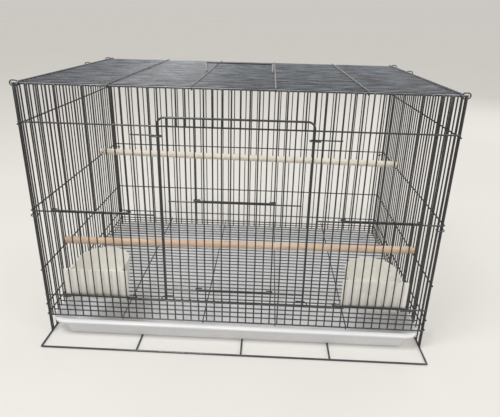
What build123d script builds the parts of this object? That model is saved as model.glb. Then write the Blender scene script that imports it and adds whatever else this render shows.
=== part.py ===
from build123d import *
from math import asin, atan2, cos, degrees, hypot, sin
import os

os.makedirs("parts", exist_ok=True)

# Flight bird cage of welded wire panels, in millimetres.
# X is to the right, Y to the back and Z up. The origin is on the floor, in the middle of the
# cage's overall outline. The front panel's upright bars stand in the plane Y = front_y.

# Bars and overall size
bar_pitch = 12.7
width_gaps = 48
depth_gaps = 32
top_wire_z = 406.4

# Wire diameters
bar_diameter = 2.2
rail_diameter = 2.4
frame_diameter = 3.0
cross_diameter = 2.2
mesh_diameter = 2.0
door_bar_diameter = 2.0
door_wire_diameter = 2.0
door_frame_diameter = 3.0
guide_diameter = 2.0
ring_wire_diameter = 1.8
handle_diameter = 3.0

# Fits: how far a welded wire sinks into its neighbour, and the air round what moves or rests
weld = 0.3
door_weld = 0.2
running_gap = 0.3
seat_gap = 0.3
curl_gap = 0.05
wall_skin = 0.3

# Heights of the horizontal rails
front_upper_rail_z = 354.0
side_upper_rail_z = 350.0
mid_rail_z = 220.0
lower_rail_z = 117.0
skirt_rail_z = 54.0
sill_rail_z = 74.0
floor_rail_z = 36.0

# Front openings, as whole gaps counted from the middle of the front panel
door_edge = 8
mid_rail_edge = 9
feeder_inner = 12
feeder_outer = 21

# Floor frame
frame_overhang = 40.0
floor_cross_x = (-152.0, 14.0, 154.0)

# Cross wires of the top panel and of the wire floor
top_cross_x = (-174.0, -60.0, 52.5, 175.0)
edge_cross_inset = 9.1
floor_mesh_cross_x = (-181.0, -50.0, 67.0, 180.5)
curl_turn = 150.0

# Rings that tie the panels together
corner_ring_z = 213.0
corner_ring_radius = 5.6
corner_ring_offset = 0.8
corner_ring_turn = 330.0
top_ring_inward = 0.5
top_ring_lift = 1.05
top_ring_radius = 3.8
top_ring_straight = 4.0
top_ring_mouth = 1.2
top_ring_inset = 3.5
mid_top_ring_gap = 22
top_ring_step = 3.1

# Main door
door_top_z = 367.0
door_corner_radius = 10.0
door_low_rail_z = 97.0
door_mid_rail_z = 246.0
door_bar_top_sink = 0.4
door_hook_reach_in = 5.5
door_hook_tail = 10.0
tip_clearance = 0.45

# Door guides on the front panel
guide_z = 341.0
guide_back_length = 42.0
guide_turn_inset = 2.0
guide_front_length = 11.0
guide_clearance = 0.5

# Small door in the main door, as whole gaps from the middle
small_door_edge = 4
small_hook_gap = 0.3
small_hook_tail = 7.0

# Feeder doors
feeder_hook_tail = 5.0

# Feeder cups
cup_width = 102.0
cup_shift = 4.0
cup_height = 46.0
cup_plate = 2.8
cup_wall = 2.0
cup_bowl_width = 84.0
cup_bowl_depth = 80.0
cup_draft = 3.5
cup_lip_height = 8.5
cup_lip_width = 90.0
cup_lip_thickness = 2.5
flute_radius = 4.5
flute_depth = 1.2

# Perches
perch_diameter = 12.7
perch_overhang = 4.2
kerf_width = 3.0
perch_chamfer = 0.8
lower_perch_left_gap = 7
lower_perch_right_gap = 8
upper_perch_left_gap = 24
upper_perch_right_gap = 22

# Tray
tray_width = 598.0
tray_depth = 404.0
tray_front_reach = 12.0
tray_rim_z = 31.0
tray_rim_overhang = 7.0
tray_rim_height = 5.0
tray_wall = 2.2
tray_side_slope = 15.5
tray_end_slope = 2.5
tray_corner_radius = 16.0
tray_floor_corner_radius = 8.0
tray_rim_fillet = 2.0

# Handle
handle_gap = 15
handle_eye_gap = 0.4
handle_eye_turn = 300.0
handle_length = 133.0
handle_left_eye_x = -64.0
handle_right_eye_x = 48.3
handle_left_corner_x = -83.0
handle_right_corner_x = 48.8
handle_corner_radius = 5.0

# Worked out from the sizes above
bar_r = bar_diameter / 2
rail_r = rail_diameter / 2
frame_r = frame_diameter / 2
cross_r = cross_diameter / 2
mesh_r = mesh_diameter / 2
door_bar_r = door_bar_diameter / 2
door_wire_r = door_wire_diameter / 2
door_frame_r = door_frame_diameter / 2
guide_r = guide_diameter / 2
ring_r = ring_wire_diameter / 2
handle_r = handle_diameter / 2
perch_r = perch_diameter / 2

cage_width = bar_pitch * width_gaps
cage_depth = bar_pitch * depth_gaps
side_x = cage_width / 2
rail_out = bar_r + rail_r - weld
rail_face = rail_out + rail_r
post_inset = frame_r - bar_r
post_x = side_x - post_inset

front_reach = frame_overhang + frame_r
rear_reach = corner_ring_offset + corner_ring_radius + ring_r
front_y = (front_reach - cage_depth - rear_reach) / 2
rear_y = front_y + cage_depth
frame_front_y = front_y - frame_overhang

bar_top_z = top_wire_z - frame_r + weld
curl_radius = frame_r + cross_r + curl_gap
top_cross_z = top_wire_z + curl_radius
top_mesh_z = top_cross_z - cross_r - mesh_r + door_weld
side_top_z = top_mesh_z - mesh_r - frame_r + weld
side_bar_top_z = side_top_z - frame_r + weld
wire_foot_z = frame_diameter - weld

rail_curl_radius = rail_r + cross_r + curl_gap
floor_cross_wire_z = floor_rail_z + rail_curl_radius
floor_mesh_z = floor_cross_wire_z - cross_r - mesh_r + door_weld

curl_reach = curl_radius + cross_r
small_hook_radius = door_bar_r + small_hook_gap + door_wire_r
small_tail_y = front_y - curl_reach - tip_clearance - door_wire_r
main_bar_y = small_tail_y - small_hook_radius
main_wire_y = main_bar_y - door_bar_r - door_wire_r + door_weld
main_frame_y = main_wire_y + door_wire_r + door_frame_r - door_weld
small_wire_y = main_bar_y - small_hook_radius
small_bar_y = small_wire_y - door_wire_r - door_bar_r + door_weld
feeder_bar_y = front_y - rail_face - running_gap - door_bar_r
feeder_wire_y = feeder_bar_y + door_bar_r + door_wire_r - door_weld

door_foot_z = sill_rail_z + rail_r + door_wire_r + seat_gap
small_foot_z = door_low_rail_z + 2 * door_wire_r + seat_gap
small_head_z = door_mid_rail_z + 2 * door_wire_r + seat_gap
feeder_head_z = mid_rail_z + rail_r + door_wire_r + seat_gap

feeder_x = bar_pitch * (feeder_inner + feeder_outer + 1) / 2


def bar_x(gap):
    """Place of the upright bar that stands half a pitch outside a whole number of gaps."""
    return (gap + 0.5) * bar_pitch


def both_sides(gaps):
    """The bar places for these gaps, on the left and on the right of the middle."""
    return [side * bar_x(gap) for gap in gaps for side in (-1, 1)]


def finish(piece, name):
    """Label a finished piece and write it under its own name."""
    piece.part.label = name
    export_step(piece.part, f"parts/{name}.step")


# Floor frame: four wires on the ground, with three cross wires that the tray slides on
with BuildPart() as floor_frame:
    for side in (-1, 1):
        with BuildSketch(Plane.XZ.offset(-frame_front_y)):
            with Locations((side * side_x, frame_r)):
                Circle(frame_r)
        extrude(amount=-(rear_y - frame_front_y))
    inner_half_width = side_x - frame_r + weld
    for wire_y in (frame_front_y, rear_y):
        with BuildSketch(Plane.YZ.offset(-inner_half_width)):
            with Locations((wire_y, frame_r)):
                Circle(frame_r)
        extrude(amount=2 * inner_half_width)
finish(floor_frame, "floor_frame")

with BuildPart() as floor_cross_wires:
    cross_start_y = frame_front_y + frame_r - weld
    with BuildSketch(Plane.XZ.offset(-cross_start_y)):
        with Locations(*[(x, frame_r) for x in floor_cross_x]):
            Circle(frame_r)
    extrude(amount=-(rear_y - frame_r + weld - cross_start_y))
finish(floor_cross_wires, "floor_cross_wires")

# Front panel: bars in five groups, because the door and feeder openings interrupt them
bar_foot_z = floor_rail_z - rail_r
sill_top_z = sill_rail_z + rail_r
full_gaps = [*range(door_edge, feeder_inner + 1), *range(feeder_outer, width_gaps // 2)]
door_gaps = range(door_edge)
feeder_gaps = range(feeder_inner + 1, feeder_outer)
front_bar_groups = (
    (full_gaps, bar_foot_z, bar_top_z),
    (door_gaps, bar_foot_z, sill_top_z),
    (door_gaps, front_upper_rail_z - rail_r, bar_top_z),
    (feeder_gaps, bar_foot_z, sill_top_z),
    (feeder_gaps, mid_rail_z - rail_r, bar_top_z),
)
with BuildPart() as front_panel_bars:
    for gaps, foot_z, head_z in front_bar_groups:
        with BuildSketch(Plane.XY.offset(foot_z)):
            with Locations(*[(x, front_y) for x in both_sides(gaps)]):
                Circle(bar_r)
        extrude(amount=head_z - foot_z)
finish(front_panel_bars, "front_panel_bars")

rail_end_x = side_x + weld
with BuildPart() as front_panel_rails:
    with BuildSketch(Plane.YZ.offset(-rail_end_x)):
        with Locations(*[(front_y - rail_out, z) for z in (front_upper_rail_z, sill_rail_z, floor_rail_z)]):
            Circle(rail_r)
    extrude(amount=2 * rail_end_x)
    mid_rail_start_x = bar_x(mid_rail_edge) - bar_r - weld
    for side in (-1, 1):
        with BuildSketch(Plane.YZ.offset(side * mid_rail_start_x)):
            with Locations((front_y - rail_out, mid_rail_z)):
                Circle(rail_r)
        extrude(amount=side * (rail_end_x - mid_rail_start_x))
finish(front_panel_rails, "front_panel_rails")

# Rear panel: bars down to the floor frame, and five rails outside them
with BuildPart() as rear_panel_bars:
    with BuildSketch(Plane.XY.offset(wire_foot_z)):
        with Locations(*[(x, rear_y) for x in both_sides(range(width_gaps // 2))]):
            Circle(bar_r)
    extrude(amount=bar_top_z - wire_foot_z)
finish(rear_panel_bars, "rear_panel_bars")

outer_rail_heights = (side_upper_rail_z, mid_rail_z, lower_rail_z, skirt_rail_z, floor_rail_z)
with BuildPart() as rear_panel_rails:
    with BuildSketch(Plane.YZ.offset(-rail_end_x)):
        with Locations(*[(rear_y + rail_out, z) for z in outer_rail_heights]):
            Circle(rail_r)
    extrude(amount=2 * rail_end_x)
finish(rear_panel_rails, "rear_panel_rails")

for panel_name, wire_y in (("front", front_y), ("rear", rear_y)):
    with BuildPart() as end_top_wire:
        with BuildSketch(Plane.YZ.offset(-(post_x + frame_r))):
            with Locations((wire_y, top_wire_z)):
                Circle(frame_r)
        extrude(amount=2 * (post_x + frame_r))
    finish(end_top_wire, f"{panel_name}_top_wire")

# Side panels: corner posts, bars, rails outside the bars and a top wire
post_spots = (front_y + post_inset, rear_y - post_inset)
side_rail_start_y = front_y - weld
side_top_start_y = front_y + post_inset + frame_r - weld
for panel_name, side in (("left", -1), ("right", 1)):
    with BuildPart() as corner_posts:
        with BuildSketch(Plane.XY.offset(wire_foot_z)):
            with Locations(*[(side * post_x, y) for y in post_spots]):
                Circle(frame_r)
        extrude(amount=bar_top_z - wire_foot_z)
    finish(corner_posts, f"{panel_name}_corner_posts")

    with BuildPart() as side_bars:
        with BuildSketch(Plane.XY.offset(wire_foot_z)):
            with Locations(*[(side * side_x, front_y + bar_x(gap)) for gap in range(depth_gaps)]):
                Circle(bar_r)
        extrude(amount=side_bar_top_z - wire_foot_z)
    finish(side_bars, f"{panel_name}_panel_bars")

    with BuildPart() as side_rails:
        with BuildSketch(Plane.XZ.offset(-side_rail_start_y)):
            with Locations(*[(side * (side_x + rail_out), z) for z in outer_rail_heights]):
                Circle(rail_r)
        extrude(amount=-(cage_depth + 2 * weld))
    finish(side_rails, f"{panel_name}_panel_rails")

    with BuildPart() as side_top_wire:
        with BuildSketch(Plane.XZ.offset(-side_top_start_y)):
            with Locations((side * side_x, side_top_z)):
                Circle(frame_r)
        extrude(amount=-(front_y + rear_y - 2 * side_top_start_y))
    finish(side_top_wire, f"{panel_name}_top_wire")


def curled_wire(x, wire_z, front_centre, rear_centre, curl, radius):
    """One cross wire whose two tips curl down round the front and rear wires."""
    with BuildPart() as bent_wire:
        with BuildLine(Plane.YZ.offset(x)) as path:
            CenterArc(front_centre, curl, 90, curl_turn)
            Line((front_centre[0], wire_z), (rear_centre[0], wire_z))
            CenterArc(rear_centre, curl, 90, -curl_turn)
        route = path.wire()
        with BuildSketch(Plane(origin=route @ 0, z_dir=route % 0)):
            Circle(radius)
        sweep(path=route)
    return bent_wire.part


# Top panel: lengthwise wires on the side panels' top wires, cross wires over them
with BuildPart() as top_panel_wires:
    with BuildSketch(Plane.YZ.offset(-side_x)):
        with Locations(*[(front_y + gap * bar_pitch, top_mesh_z) for gap in range(1, depth_gaps)]):
            Circle(mesh_r)
    extrude(amount=2 * side_x)
finish(top_panel_wires, "top_panel_wires")

edge_cross_x = side_x - edge_cross_inset
top_cross_places = (-edge_cross_x, *top_cross_x, edge_cross_x)
top_cross_list = [
    curled_wire(x, top_cross_z, (front_y, top_wire_z), (rear_y, top_wire_z), curl_radius, cross_r)
    for x in top_cross_places
]
with BuildPart() as top_panel_cross_wires:
    add(top_cross_list)
finish(top_panel_cross_wires, "top_panel_cross_wires")

# Wire floor: lengthwise wires under cross wires that hook over the bottom rails
floor_mesh_half = side_x - bar_r - 2 * running_gap
with BuildPart() as floor_mesh_wires:
    with BuildSketch(Plane.YZ.offset(-floor_mesh_half)):
        with Locations(*[(front_y + gap * bar_pitch, floor_mesh_z) for gap in range(1, depth_gaps)]):
            Circle(mesh_r)
    extrude(amount=2 * floor_mesh_half)
finish(floor_mesh_wires, "floor_mesh_wires")

floor_rail_front = (front_y - rail_out, floor_rail_z)
floor_rail_rear = (rear_y + rail_out, floor_rail_z)
floor_cross_list = [
    curled_wire(x, floor_cross_wire_z, floor_rail_front, floor_rail_rear, rail_curl_radius, cross_r)
    for x in floor_mesh_cross_x
]
with BuildPart() as floor_mesh_cross_wires:
    add(floor_cross_list)
finish(floor_mesh_cross_wires, "floor_mesh_cross_wires")


# Open rings closed round two wires with pliers: four at the corners, six along the top
corner_ring_x = (post_x + frame_r + bar_x(width_gaps // 2 - 1) - bar_r) / 2
with BuildPart() as corner_rings:
    for side in (-1, 1):
        for ring_y, mouth in ((front_y - corner_ring_offset, 1), (rear_y + corner_ring_offset, -1)):
            centre = (side * corner_ring_x, ring_y, corner_ring_z)
            half_mouth = (360 - corner_ring_turn) / 2
            ring_plane = Plane(origin=centre, x_dir=(0, mouth, 0), z_dir=(0, 0, 1))
            start_plane = ring_plane.rotated((0, 0, half_mouth))
            with BuildSketch(Plane(origin=centre, x_dir=start_plane.x_dir, z_dir=-start_plane.y_dir)):
                with Locations((corner_ring_radius, 0)):
                    Circle(ring_r)
            revolve(axis=Axis(centre, (0, 0, 1)), revolution_arc=corner_ring_turn)
finish(corner_rings, "corner_rings")

top_ring_places = (
    front_y + top_ring_inset,
    front_y + mid_top_ring_gap * bar_pitch + top_ring_step,
    rear_y - top_ring_inset,
)
ring_half = top_ring_straight / 2
top_ring_x = side_x - top_ring_inward
top_ring_z = side_top_z + top_ring_lift
with BuildPart() as top_rings:
    for side in (-1, 1):
        for ring_y in top_ring_places:
            ring_plane = Plane(origin=(side * top_ring_x, ring_y, top_ring_z), x_dir=(1, 0, 0), z_dir=(0, -1, 0))
            with BuildLine(ring_plane) as oval:
                Line((-top_ring_mouth / 2, -top_ring_radius), (-ring_half, -top_ring_radius))
                SagittaArc((-ring_half, -top_ring_radius), (-ring_half, top_ring_radius), top_ring_radius)
                Line((-ring_half, top_ring_radius), (ring_half, top_ring_radius))
                SagittaArc((ring_half, top_ring_radius), (ring_half, -top_ring_radius), top_ring_radius)
                Line((ring_half, -top_ring_radius), (top_ring_mouth / 2, -top_ring_radius))
            oval_wire = oval.wire()
            with BuildSketch(Plane(origin=oval_wire @ 0, z_dir=oval_wire % 0)):
                Circle(ring_r)
            sweep(path=oval_wire)
finish(top_rings, "top_rings")

# Door guides: a wire across three bars, turned back in front of the door's leg
guide_back_y = front_y - bar_r - guide_r + door_weld
guide_front_y = main_frame_y - door_frame_r - guide_clearance - guide_r
guide_turn_radius = (guide_back_y - guide_front_y) / 2
with BuildPart() as door_guides:
    for side in (-1, 1):
        turn_x = side * (bar_x(door_edge) - guide_turn_inset)
        with BuildLine(Plane.XY.offset(guide_z)) as guide_path:
            Line((turn_x + side * guide_back_length, guide_back_y), (turn_x, guide_back_y))
            SagittaArc((turn_x, guide_back_y), (turn_x, guide_front_y), -side * guide_turn_radius)
            Line((turn_x, guide_front_y), (turn_x + side * guide_front_length, guide_front_y))
        guide_route = guide_path.wire()
        with BuildSketch(Plane(origin=guide_route @ 0, z_dir=guide_route % 0)):
            Circle(guide_r)
        sweep(path=guide_route)
finish(door_guides, "door_guides")


def hooked_wire(half_span, wire_y, tail_y, wire_z, tail, radius):
    """A cross wire whose two ends turn inwards round a bar, with a short tail behind it."""
    bulge = (wire_y - tail_y) / 2
    with BuildPart() as bent_wire:
        with BuildLine(Plane.XY.offset(wire_z)) as path:
            Line((-half_span + tail, tail_y), (-half_span, tail_y))
            SagittaArc((-half_span, tail_y), (-half_span, wire_y), bulge)
            Line((-half_span, wire_y), (half_span, wire_y))
            SagittaArc((half_span, wire_y), (half_span, tail_y), bulge)
            Line((half_span, tail_y), (half_span - tail, tail_y))
        route = path.wire()
        with BuildSketch(Plane(origin=route @ 0, z_dir=route % 0)):
            Circle(radius)
        sweep(path=route)
    return bent_wire.part


# Main door: an inverted U that slides up in front of the fixed bars
leg_x = bar_x(door_edge)
with BuildPart() as main_door_frame:
    with BuildLine(Plane.XZ.offset(-main_frame_y)) as door_outline:
        FilletPolyline(
            (-leg_x, door_foot_z - door_wire_r),
            (-leg_x, door_top_z),
            (leg_x, door_top_z),
            (leg_x, door_foot_z - door_wire_r),
            radius=door_corner_radius,
        )
    outline_wire = door_outline.wire()
    with BuildSketch(Plane(origin=outline_wire @ 0, z_dir=outline_wire % 0)):
        Circle(door_frame_r)
    sweep(path=outline_wire)
finish(main_door_frame, "main_door_frame")

main_bar_foot_z = door_foot_z - door_wire_r
main_bar_head_z = door_top_z - door_frame_r + door_bar_top_sink
main_bar_groups = (
    (range(small_door_edge, door_edge), main_bar_foot_z, main_bar_head_z),
    (range(small_door_edge), main_bar_foot_z, door_low_rail_z + door_wire_r),
    (range(small_door_edge), door_mid_rail_z - door_wire_r, main_bar_head_z),
)
with BuildPart() as main_door_bars:
    for gaps, foot_z, head_z in main_bar_groups:
        with BuildSketch(Plane.XY.offset(foot_z)):
            with Locations(*[(x, main_bar_y) for x in both_sides(gaps)]):
                Circle(door_bar_r)
        extrude(amount=head_z - foot_z)
finish(main_door_bars, "main_door_bars")

door_mid_rail_half = bar_x(door_edge - 1) + door_bar_r + weld
with BuildPart() as main_door_rails:
    for half_length, rail_z in ((leg_x, door_low_rail_z), (door_mid_rail_half, door_mid_rail_z)):
        with BuildSketch(Plane.YZ.offset(-half_length)):
            with Locations((main_wire_y, rail_z)):
                Circle(door_wire_r)
        extrude(amount=2 * half_length)
finish(main_door_rails, "main_door_rails")

door_hook_y = front_y + door_hook_reach_in
door_foot_wire = hooked_wire(leg_x, main_wire_y, door_hook_y, door_foot_z, door_hook_tail, door_wire_r)
with BuildPart() as main_door_foot_wire:
    add(door_foot_wire)
finish(main_door_foot_wire, "main_door_foot_wire")

# Small door: slides up on the main door's own bars
small_edge_x = bar_x(small_door_edge)
with BuildPart() as small_door_bars:
    with BuildSketch(Plane.XY.offset(small_foot_z - door_wire_r)):
        with Locations(*[(x, small_bar_y) for x in both_sides(range(small_door_edge))]):
            Circle(door_bar_r)
    extrude(amount=small_head_z - small_foot_z + 2 * door_wire_r)
finish(small_door_bars, "small_door_bars")

small_wire_list = [
    hooked_wire(small_edge_x, small_wire_y, small_tail_y, z, small_hook_tail, door_wire_r)
    for z in (small_foot_z, small_head_z)
]
with BuildPart() as small_door_wires:
    add(small_wire_list)
finish(small_door_wires, "small_door_wires")

# Feeder doors: one in front of each cup, hooked round the bars beside its opening
feeder_half = bar_x(feeder_outer) - feeder_x
feeder_wire_list = [
    hooked_wire(feeder_half, feeder_wire_y, 2 * front_y - feeder_wire_y, z, feeder_hook_tail, door_wire_r)
    for z in (door_foot_z, feeder_head_z)
]
for door_name, side in (("left", -1), ("right", 1)):
    with BuildPart() as feeder_bars:
        with BuildSketch(Plane.XY.offset(door_foot_z - door_wire_r)):
            with Locations(*[(side * bar_x(gap), feeder_bar_y) for gap in feeder_gaps]):
                Circle(door_bar_r)
        extrude(amount=feeder_head_z - door_foot_z + 2 * door_wire_r)
    finish(feeder_bars, f"{door_name}_feeder_door_bars")

    with BuildPart() as feeder_wires:
        with Locations((side * feeder_x, 0, 0)):
            add(feeder_wire_list)
    finish(feeder_wires, f"{door_name}_feeder_door_wires")

# Feeder cups: a fluted plate on the door sill with a bowl behind it and a lip inside the sill bars
cup_foot_z = sill_top_z + seat_gap
plate_front_y = feeder_wire_y + door_wire_r + running_gap
plate_back_y = plate_front_y + cup_plate
bowl_straight = cup_bowl_depth - cup_bowl_width / 2
lip_front_y = front_y + bar_r + running_gap
for cup_name, side in (("left", -1), ("right", 1)):
    cup_x = side * (feeder_x + cup_shift)
    with BuildPart() as cup:
        with BuildSketch(Plane.XY.offset(cup_foot_z)):
            with Locations((cup_x, (plate_front_y + plate_back_y) / 2)):
                Rectangle(cup_width, cup_plate)
            flute_y = plate_front_y - flute_radius + flute_depth
            with Locations(*[(side * bar_x(gap), flute_y) for gap in feeder_gaps]):
                Circle(flute_radius, mode=Mode.SUBTRACT)
        extrude(amount=cup_height)

        for level, inset, mode in (
            (cup_foot_z, 0, Mode.ADD),
            (cup_foot_z + cup_wall, cup_wall, Mode.SUBTRACT),
        ):
            bowl_front_y = plate_back_y - (wall_skin if mode == Mode.ADD else 0)
            arc_y = plate_back_y + bowl_straight
            for height, draft in ((level, cup_draft), (cup_foot_z + cup_height, 0)):
                half = cup_bowl_width / 2 - inset - draft
                with BuildSketch(Plane.XY.offset(height)):
                    with BuildLine():
                        Polyline(
                            (cup_x - half, arc_y),
                            (cup_x - half, bowl_front_y),
                            (cup_x + half, bowl_front_y),
                            (cup_x + half, arc_y),
                        )
                        ThreePointArc((cup_x + half, arc_y), (cup_x, arc_y + half), (cup_x - half, arc_y))
                    make_face()
            loft(mode=mode)

        with BuildSketch(Plane.XY.offset(cup_foot_z - cup_lip_height)):
            with Locations((cup_x, lip_front_y + cup_lip_thickness / 2)):
                Rectangle(cup_lip_width, cup_lip_thickness)
        extrude(amount=cup_lip_height + cup_wall)
    finish(cup, f"{cup_name}_cup")

# Perches: dowels with a kerf in each end that straddles a side bar, lying on the rails outside
perches = (
    ("lower", lower_rail_z, lower_perch_left_gap, lower_perch_right_gap),
    ("upper", mid_rail_z, upper_perch_left_gap, upper_perch_right_gap),
)
for perch_name, rail_z, left_gap, right_gap in perches:
    left_y = front_y + bar_x(left_gap)
    right_y = front_y + bar_x(right_gap)
    swing = atan2(right_y - left_y, cage_width)
    perch_z = rail_z + rail_r + seat_gap + perch_r
    half_length = (side_x + perch_overhang) / cos(swing)
    kerf_depth = perch_overhang + bar_r + running_gap
    axis_direction = Vector(cos(swing), sin(swing), 0)
    middle = Vector(0, (left_y + right_y) / 2, perch_z)
    with BuildPart() as perch:
        with BuildSketch(Plane(origin=middle - axis_direction * half_length, z_dir=axis_direction)):
            Circle(perch_r)
        extrude(amount=2 * half_length)
        chamfer(perch.edges().filter_by(GeomType.CIRCLE), perch_chamfer)
        with BuildSketch(Plane(origin=middle, x_dir=axis_direction, z_dir=(0, 0, 1))):
            with Locations(*[(side * (half_length - kerf_depth / 2), 0) for side in (-1, 1)]):
                Rectangle(kerf_depth, kerf_width)
        extrude(amount=perch_r, both=True, mode=Mode.SUBTRACT)
    finish(perch, f"{perch_name}_perch")

# Tray: a shallow drawer with sloping walls and a rolled rim, lying on the floor frame
tray_front_y = front_y - tray_front_reach
tray_mid_y = tray_front_y + tray_depth / 2
tray_floor_z = frame_diameter + seat_gap
body_width = tray_width - 2 * tray_rim_overhang
body_depth = tray_depth - 2 * tray_rim_overhang
with BuildPart() as tray:
    for inset, mode in ((0, Mode.ADD), (tray_wall, Mode.SUBTRACT)):
        for height, side_slope, end_slope, corner in (
            (tray_floor_z + inset, tray_side_slope, tray_end_slope, tray_floor_corner_radius),
            (tray_rim_z, 0, 0, tray_corner_radius),
        ):
            with BuildSketch(Plane.XY.offset(height)):
                with Locations((0, tray_mid_y)):
                    RectangleRounded(
                        body_width - 2 * (inset + side_slope),
                        body_depth - 2 * (inset + end_slope),
                        corner - inset,
                    )
        loft(mode=mode)
    with BuildSketch(Plane.XY.offset(tray_rim_z - tray_rim_height)):
        with Locations((0, tray_mid_y)):
            RectangleRounded(tray_width, tray_depth, tray_corner_radius + tray_rim_overhang)
            RectangleRounded(
                body_width - tray_wall,
                body_depth - tray_wall,
                tray_corner_radius - tray_wall / 2,
                mode=Mode.SUBTRACT,
            )
    extrude(amount=tray_rim_height)
    rim_face = tray.faces().sort_by(Axis.Z)[-1]
    fillet(rim_face.outer_wire().edges(), tray_rim_fillet)
finish(tray, "tray")

# Handle: a bail of one wire, whose two eyes turn round one of the top panel's wires
handle_eye_radius = mesh_r + handle_eye_gap + handle_r
handle_axis_y = front_y + handle_gap * bar_pitch
handle_bar_z = top_cross_z + cross_r + handle_r + seat_gap
handle_rise = handle_bar_z - top_mesh_z


def handle_eye(eye_x, corner_x):
    """One eye of the handle, in line with its leg, and the point where the leg leaves it."""
    centre = Vector(eye_x, handle_axis_y, top_mesh_z)
    heading = Vector(corner_x - eye_x, handle_length, 0).normalized()
    leg_reach = hypot(corner_x - eye_x, handle_length)
    tilt = atan2(handle_rise, leg_reach) - asin(handle_eye_radius / hypot(leg_reach, handle_rise))
    eye_plane = Plane(origin=centre, x_dir=heading, z_dir=heading.cross(Vector(0, 0, 1)))
    leave_angle = 90 + degrees(tilt)
    eye = Edge.make_circle(handle_eye_radius, eye_plane, leave_angle, leave_angle + handle_eye_turn)
    return eye, eye @ 0


left_eye, left_leave = handle_eye(handle_left_eye_x, handle_left_corner_x)
right_eye, right_leave = handle_eye(handle_right_eye_x, handle_right_corner_x)
with BuildPart() as carry_handle:
    with BuildLine() as bail:
        FilletPolyline(
            left_leave,
            (handle_left_corner_x, handle_axis_y + handle_length, handle_bar_z),
            (handle_right_corner_x, handle_axis_y + handle_length, handle_bar_z),
            right_leave,
            radius=handle_corner_radius,
        )
        add(left_eye)
        add(right_eye)
    bail_wire = bail.wire()
    with BuildSketch(Plane(origin=bail_wire @ 0, z_dir=bail_wire % 0)):
        Circle(handle_r)
    sweep(path=bail_wire)
finish(carry_handle, "carry_handle")
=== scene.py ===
import math

import bmesh
import bpy
from mathutils import Matrix, Vector, noise


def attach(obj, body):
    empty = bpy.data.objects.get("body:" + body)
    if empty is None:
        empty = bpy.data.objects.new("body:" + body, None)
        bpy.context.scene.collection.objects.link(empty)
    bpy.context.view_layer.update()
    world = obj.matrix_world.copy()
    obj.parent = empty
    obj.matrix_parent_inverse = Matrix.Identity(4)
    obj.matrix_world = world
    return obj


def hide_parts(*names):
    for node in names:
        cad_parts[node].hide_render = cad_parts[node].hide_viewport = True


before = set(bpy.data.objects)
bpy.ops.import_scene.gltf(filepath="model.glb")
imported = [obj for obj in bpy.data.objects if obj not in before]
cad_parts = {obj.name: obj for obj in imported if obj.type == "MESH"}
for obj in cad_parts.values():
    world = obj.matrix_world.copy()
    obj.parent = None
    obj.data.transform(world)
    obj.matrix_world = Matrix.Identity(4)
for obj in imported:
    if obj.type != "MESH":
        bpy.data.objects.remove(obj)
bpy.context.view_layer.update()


# Floor frame: four 3 mm steel wires butt-welded into a rectangle on the ground, with three cross
# wires. The tray slides on them, and the frame reaches out in front as a step for the tray.
# All the cage's wire is mild steel, spot welded and then dipped in black stoving enamel.

MM = 0.001


def linear(hex_colour):
    """An sRGB hex colour as Blender's linear red, green, blue and alpha."""
    channels = [int(hex_colour[i:i + 2], 16) / 255 for i in (1, 3, 5)]
    return [c / 12.92 if c <= 0.04045 else ((c + 0.055) / 1.055) ** 2.4 for c in channels] + [1.0]


def add_node(tree, kind, settings=None, links=None, **values):
    """A shader node with its settings, its input values and its links from other nodes' outputs."""
    node = tree.nodes.new(kind)
    for name, value in (settings or {}).items():
        setattr(node, name, value)
    for name, value in values.items():
        node.inputs[name.replace("_", " ")].default_value = value
    for name, output in (links or {}).items():
        tree.links.new(output, node.inputs[name])
    return node


def new_material(name):
    """An empty material with an output, and its node tree."""
    material = bpy.data.materials.new(name)
    material.use_nodes = True
    tree = material.node_tree
    tree.nodes.clear()
    return material, tree, tree.nodes.new("ShaderNodeOutputMaterial")


def add_ramp(tree, value, *stops):
    """A colour ramp over a value, its stops given as pairs of a position and an sRGB hex colour."""
    node = add_node(tree, "ShaderNodeValToRGB", links={"Fac": value})
    for element, (position, hex_colour) in zip(node.color_ramp.elements, stops):
        element.position = position
        element.color = linear(hex_colour)
    return node


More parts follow.
